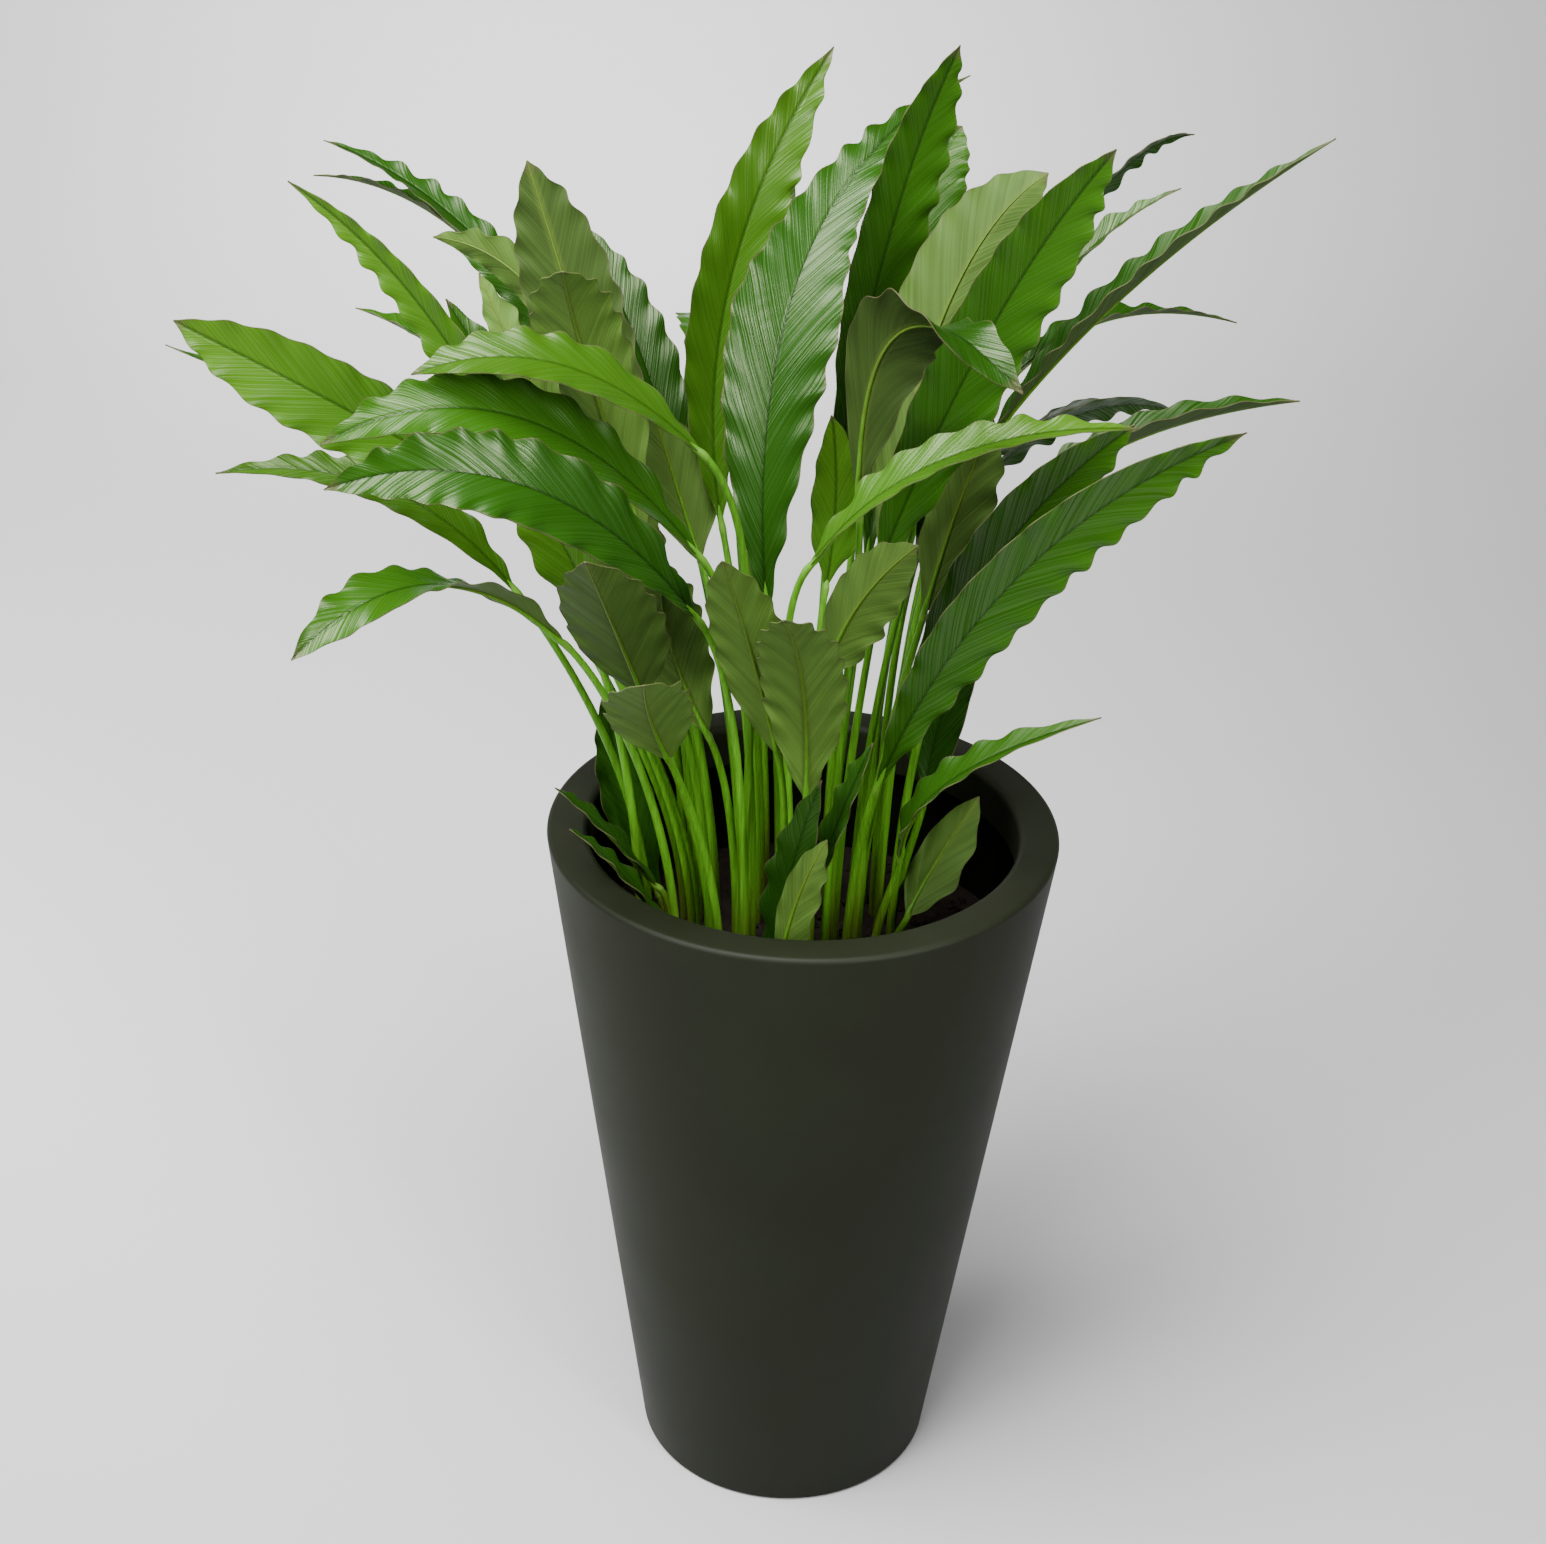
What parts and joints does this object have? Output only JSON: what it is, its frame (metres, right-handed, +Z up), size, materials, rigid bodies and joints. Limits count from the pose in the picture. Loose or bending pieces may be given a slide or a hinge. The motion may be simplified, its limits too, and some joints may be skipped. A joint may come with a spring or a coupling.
{
  "type": "potted plant",
  "caption": "Leafy calathea with long lance-shaped waved leaves on tall stalks, growing in a deep tapered round planter with a wide lip.",
  "frame": {"origin": "middle of the planter's flat base, on the surface it stands on", "axes": "+Z up the planter's axis, -Y towards the front that the picture shows, +X to the right seen from the front"},
  "size_m": [0.8003, 0.6006, 1.1152],
  "materials": {
    "planter": "dark olive-black satin, fine grain",
    "potting_mix": "dark crumbly potting mix",
    "leaf_deep": "deep green, glossy above, matt below",
    "leaf_mid": "mid green, glossy above, matt below",
    "leaf_light": "yellow-green, glossy above, matt below"
  },
  "bodies": {
    "root": {"planter": "planter", "soil": "potting_mix", "leaf_back_1": "leaf_light", "leaf_back_2": "leaf_light", "leaf_back_3": "leaf_deep", "leaf_back_4": "leaf_mid", "leaf_back_5": "leaf_mid", "leaf_back_6": "leaf_mid", "leaf_back_7": "leaf_mid", "leaf_back_8": "leaf_mid", "leaf_back_9": "leaf_deep", "leaf_right_1": "leaf_deep", "leaf_right_2": "leaf_deep", "leaf_right_3": "leaf_mid", "leaf_right_4": "leaf_deep", "leaf_right_5": "leaf_deep", "leaf_right_6": "leaf_light", "leaf_right_7": "leaf_mid", "leaf_right_8": "leaf_mid", "leaf_right_9": "leaf_mid", "leaf_right_10": "leaf_mid", "leaf_right_11": "leaf_deep", "leaf_right_12": "leaf_deep", "leaf_mid_1": "leaf_deep", "leaf_mid_2": "leaf_light", "leaf_mid_3": "leaf_mid", "leaf_mid_4": "leaf_mid", "leaf_front_1": "leaf_light", "leaf_front_2": "leaf_light", "leaf_front_3": "leaf_deep", "leaf_front_4": "leaf_mid", "leaf_left_1": "leaf_light", "leaf_left_2": "leaf_mid", "leaf_left_3": "leaf_light", "leaf_left_4": "leaf_light", "leaf_left_5": "leaf_deep", "leaf_left_6": "leaf_deep", "leaf_left_7": "leaf_light", "leaf_left_8": "leaf_deep", "leaf_left_9": "leaf_deep", "leaf_left_10": "leaf_deep", "leaf_left_11": "leaf_light", "leaf_left_12": "leaf_light", "leaf_left_13": "leaf_mid", "leaf_left_14": "leaf_mid", "leaf_left_15": "leaf_light", "leaf_left_16": "leaf_mid", "leaf_left_17": "leaf_deep", "leaf_left_18": "leaf_light", "leaf_left_19": "leaf_light", "leaf_left_20": "leaf_light", "leaf_left_21": "leaf_mid", "leaf_left_22": "leaf_mid", "leaf_left_23": "leaf_light", "leaf_left_24": "leaf_deep", "leaf_left_25": "leaf_deep", "leaf_left_26": "leaf_deep", "leaf_left_27": "leaf_mid", "leaf_rear_1": "leaf_mid", "leaf_rear_2": "leaf_deep"}
  },
  "joints": []
}
